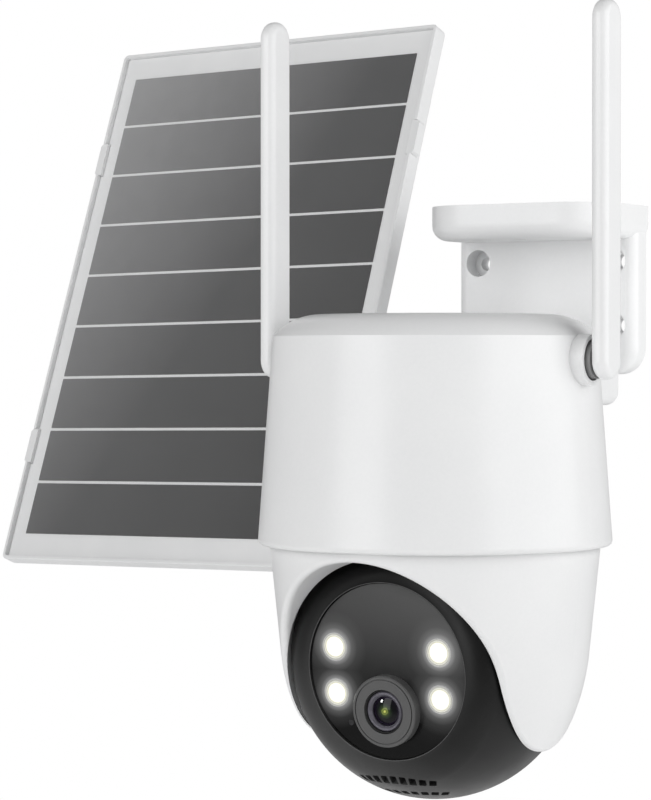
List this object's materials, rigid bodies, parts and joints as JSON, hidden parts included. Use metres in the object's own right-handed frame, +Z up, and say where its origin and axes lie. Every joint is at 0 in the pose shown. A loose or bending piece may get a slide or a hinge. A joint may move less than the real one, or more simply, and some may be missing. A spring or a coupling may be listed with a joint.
{
  "type": "solar-powered security camera",
  "caption": "Pan-and-tilt outdoor camera head in a fork under a round housing, with two folding antennas, a wall bracket and an adjustable solar panel on an arm.",
  "frame": {"origin": "middle of the four wall-screw holes, on the mounting plane behind the bracket", "axes": "+Y into the wall, +Z up, +X to the right of someone facing the camera; the camera looks along -Y"},
  "size_m": [0.2849, 0.1865, 0.2766],
  "materials": {
    "white_shell": "smooth satin injection-moulded ABS",
    "white_frame": "fine-textured moulded plastic",
    "painted_arm": "powder-coated steel",
    "black_shell": "satin black ABS",
    "dark_window": "polished smoked acrylic",
    "bezel_grey": "dark grey, fine turned texture",
    "lens_barrel_black": "black anodised",
    "lens_coated_glass": "multi-coated front element",
    "led_clear": "clear light lens over lit white emitters",
    "grey_trim": "mid grey plastic",
    "black_rubber": "soft black rubber",
    "screw_steel": "zinc-plated steel",
    "inner_plastic": "dark moulded plastic",
    "gear_nylon": "natural nylon",
    "pinion_brass": "machined brass",
    "motor_steel": "plated motor can",
    "circuit_board": "green solder mask",
    "module_shield": "tinned shield can",
    "cell_wrap": "blue shrink wrap",
    "speaker_black": "black plastic",
    "solar_silicon": "monocrystalline silicon strips",
    "cover_glass": "clear cover glass",
    "backsheet_white": "white backsheet"
  },
  "bodies": {
    "mount": {"wall_bracket": "white_shell", "panel_arm": "painted_arm", "rear_mount_block": "white_shell", "mount_screws": "screw_steel", "upper_housing": "white_shell", "usb_port": "screw_steel", "card_tray": "grey_trim", "chassis_plate": "inner_plastic", "housing_seal": "black_rubber", "chassis_screws": "screw_steel", "pan_bush": "inner_plastic", "main_board": "circuit_board", "network_module": "module_shield", "battery_tray": "inner_plastic", "battery_cells": "cell_wrap", "pan_motor": "motor_steel"},
    "power_button": {"power_button": "grey_trim"},
    "port_cover": {"port_cover": "white_shell"},
    "pan_pinion": {"pan_pinion": "pinion_brass"},
    "yoke": {"yoke_shell": "white_shell", "pan_ring_gear": "gear_nylon", "hub_cap": "inner_plastic", "yoke_screws": "screw_steel", "arm_covers": "black_shell", "tilt_axles": "motor_steel", "tilt_gear": "gear_nylon"},
    "ball": {"ball_front_shell": "black_shell", "ball_rear_shell": "black_shell", "ball_screws": "screw_steel", "tilt_bushes": "inner_plastic", "tilt_motor": "motor_steel", "window_gasket": "black_rubber", "front_window": "dark_window", "lens_bezel": "bezel_grey", "lens_barrel": "lens_barrel_black", "lens_glass": "lens_coated_glass", "sensor_board": "circuit_board", "led_board": "circuit_board", "led_lenses": "led_clear", "light_sensor": "lens_barrel_black", "speaker": "speaker_black"},
    "tilt_pinion": {"tilt_pinion": "pinion_brass"},
    "antenna_left": {"antenna_left": "white_shell", "antenna_hub_left": "grey_trim"},
    "antenna_right": {"antenna_right": "white_shell", "antenna_hub_right": "grey_trim"},
    "swivel": {"swivel_knuckle": "painted_arm", "clamp_fasteners": "screw_steel", "tilt_knob": "speaker_black"},
    "panel": {"tilt_head": "painted_arm", "panel_boss": "white_frame", "boss_screws": "screw_steel", "panel_frame": "white_frame", "panel_clips": "white_frame", "panel_back": "white_frame", "panel_backsheet": "backsheet_white", "solar_cells": "solar_silicon", "panel_glass": "cover_glass", "junction_box": "white_frame", "cable_gland": "speaker_black"}
  },
  "joints": [
    {"name": "pan", "type": "hinge", "parent": "mount", "child": "yoke", "pos_m": [0, -0.0935, -0.12385], "axis": [0, 0, 1], "range_deg": [-175, 175]},
    {"name": "pan_pinion_spin", "type": "hinge", "parent": "mount", "child": "pan_pinion", "pos_m": [0, -0.1235, -0.06285], "axis": [0, 0, 1], "range_deg": [-701, 701]},
    {"name": "tilt", "type": "hinge", "parent": "yoke", "child": "ball", "pos_m": [0, -0.0935, -0.12385], "axis": [1, 0, 0], "range_deg": [-20, 85]},
    {"name": "tilt_pinion_spin", "type": "hinge", "parent": "ball", "child": "tilt_pinion", "pos_m": [0, -0.07656, -0.12237], "axis": [1, 0, 0], "range_deg": [-49, 205]},
    {"name": "antenna_left_fold", "type": "hinge", "parent": "mount", "child": "antenna_left", "pos_m": [-0.0642, -0.0935, -0.02385], "axis": [1, 0, 0], "range_deg": [-30, 90]},
    {"name": "antenna_right_fold", "type": "hinge", "parent": "mount", "child": "antenna_right", "pos_m": [0.0642, -0.0935, -0.02385], "axis": [1, 0, 0], "range_deg": [-50, 90]},
    {"name": "panel_swivel", "type": "hinge", "parent": "mount", "child": "swivel", "pos_m": [-0.13646, 0.00673, -0.00854], "axis": [0, 0, 1], "range_deg": [-45, 10]},
    {"name": "panel_tilt", "type": "hinge", "parent": "swivel", "child": "panel", "pos_m": [-0.13646, 0.00673, -0.00854], "axis": [0.9965, -0.0837, 0], "range_deg": [-30, 20]},
    {"name": "port_cover_hinge", "type": "hinge", "parent": "mount", "child": "port_cover", "pos_m": [0, -0.03885, -0.06175], "axis": [-1, 0, 0], "range_deg": [0, 90]},
    {"name": "power_press", "type": "slide", "parent": "mount", "child": "power_button", "axis": [0, -1, 0], "range_m": [0, 0.0006], "stiffness_N_per_m": 1500}
  ],
  "couplings": [
    {"joint": "pan_pinion_spin", "follows": "pan", "ratio": -4},
    {"joint": "tilt_pinion_spin", "follows": "tilt", "ratio": 2.4}
  ]
}
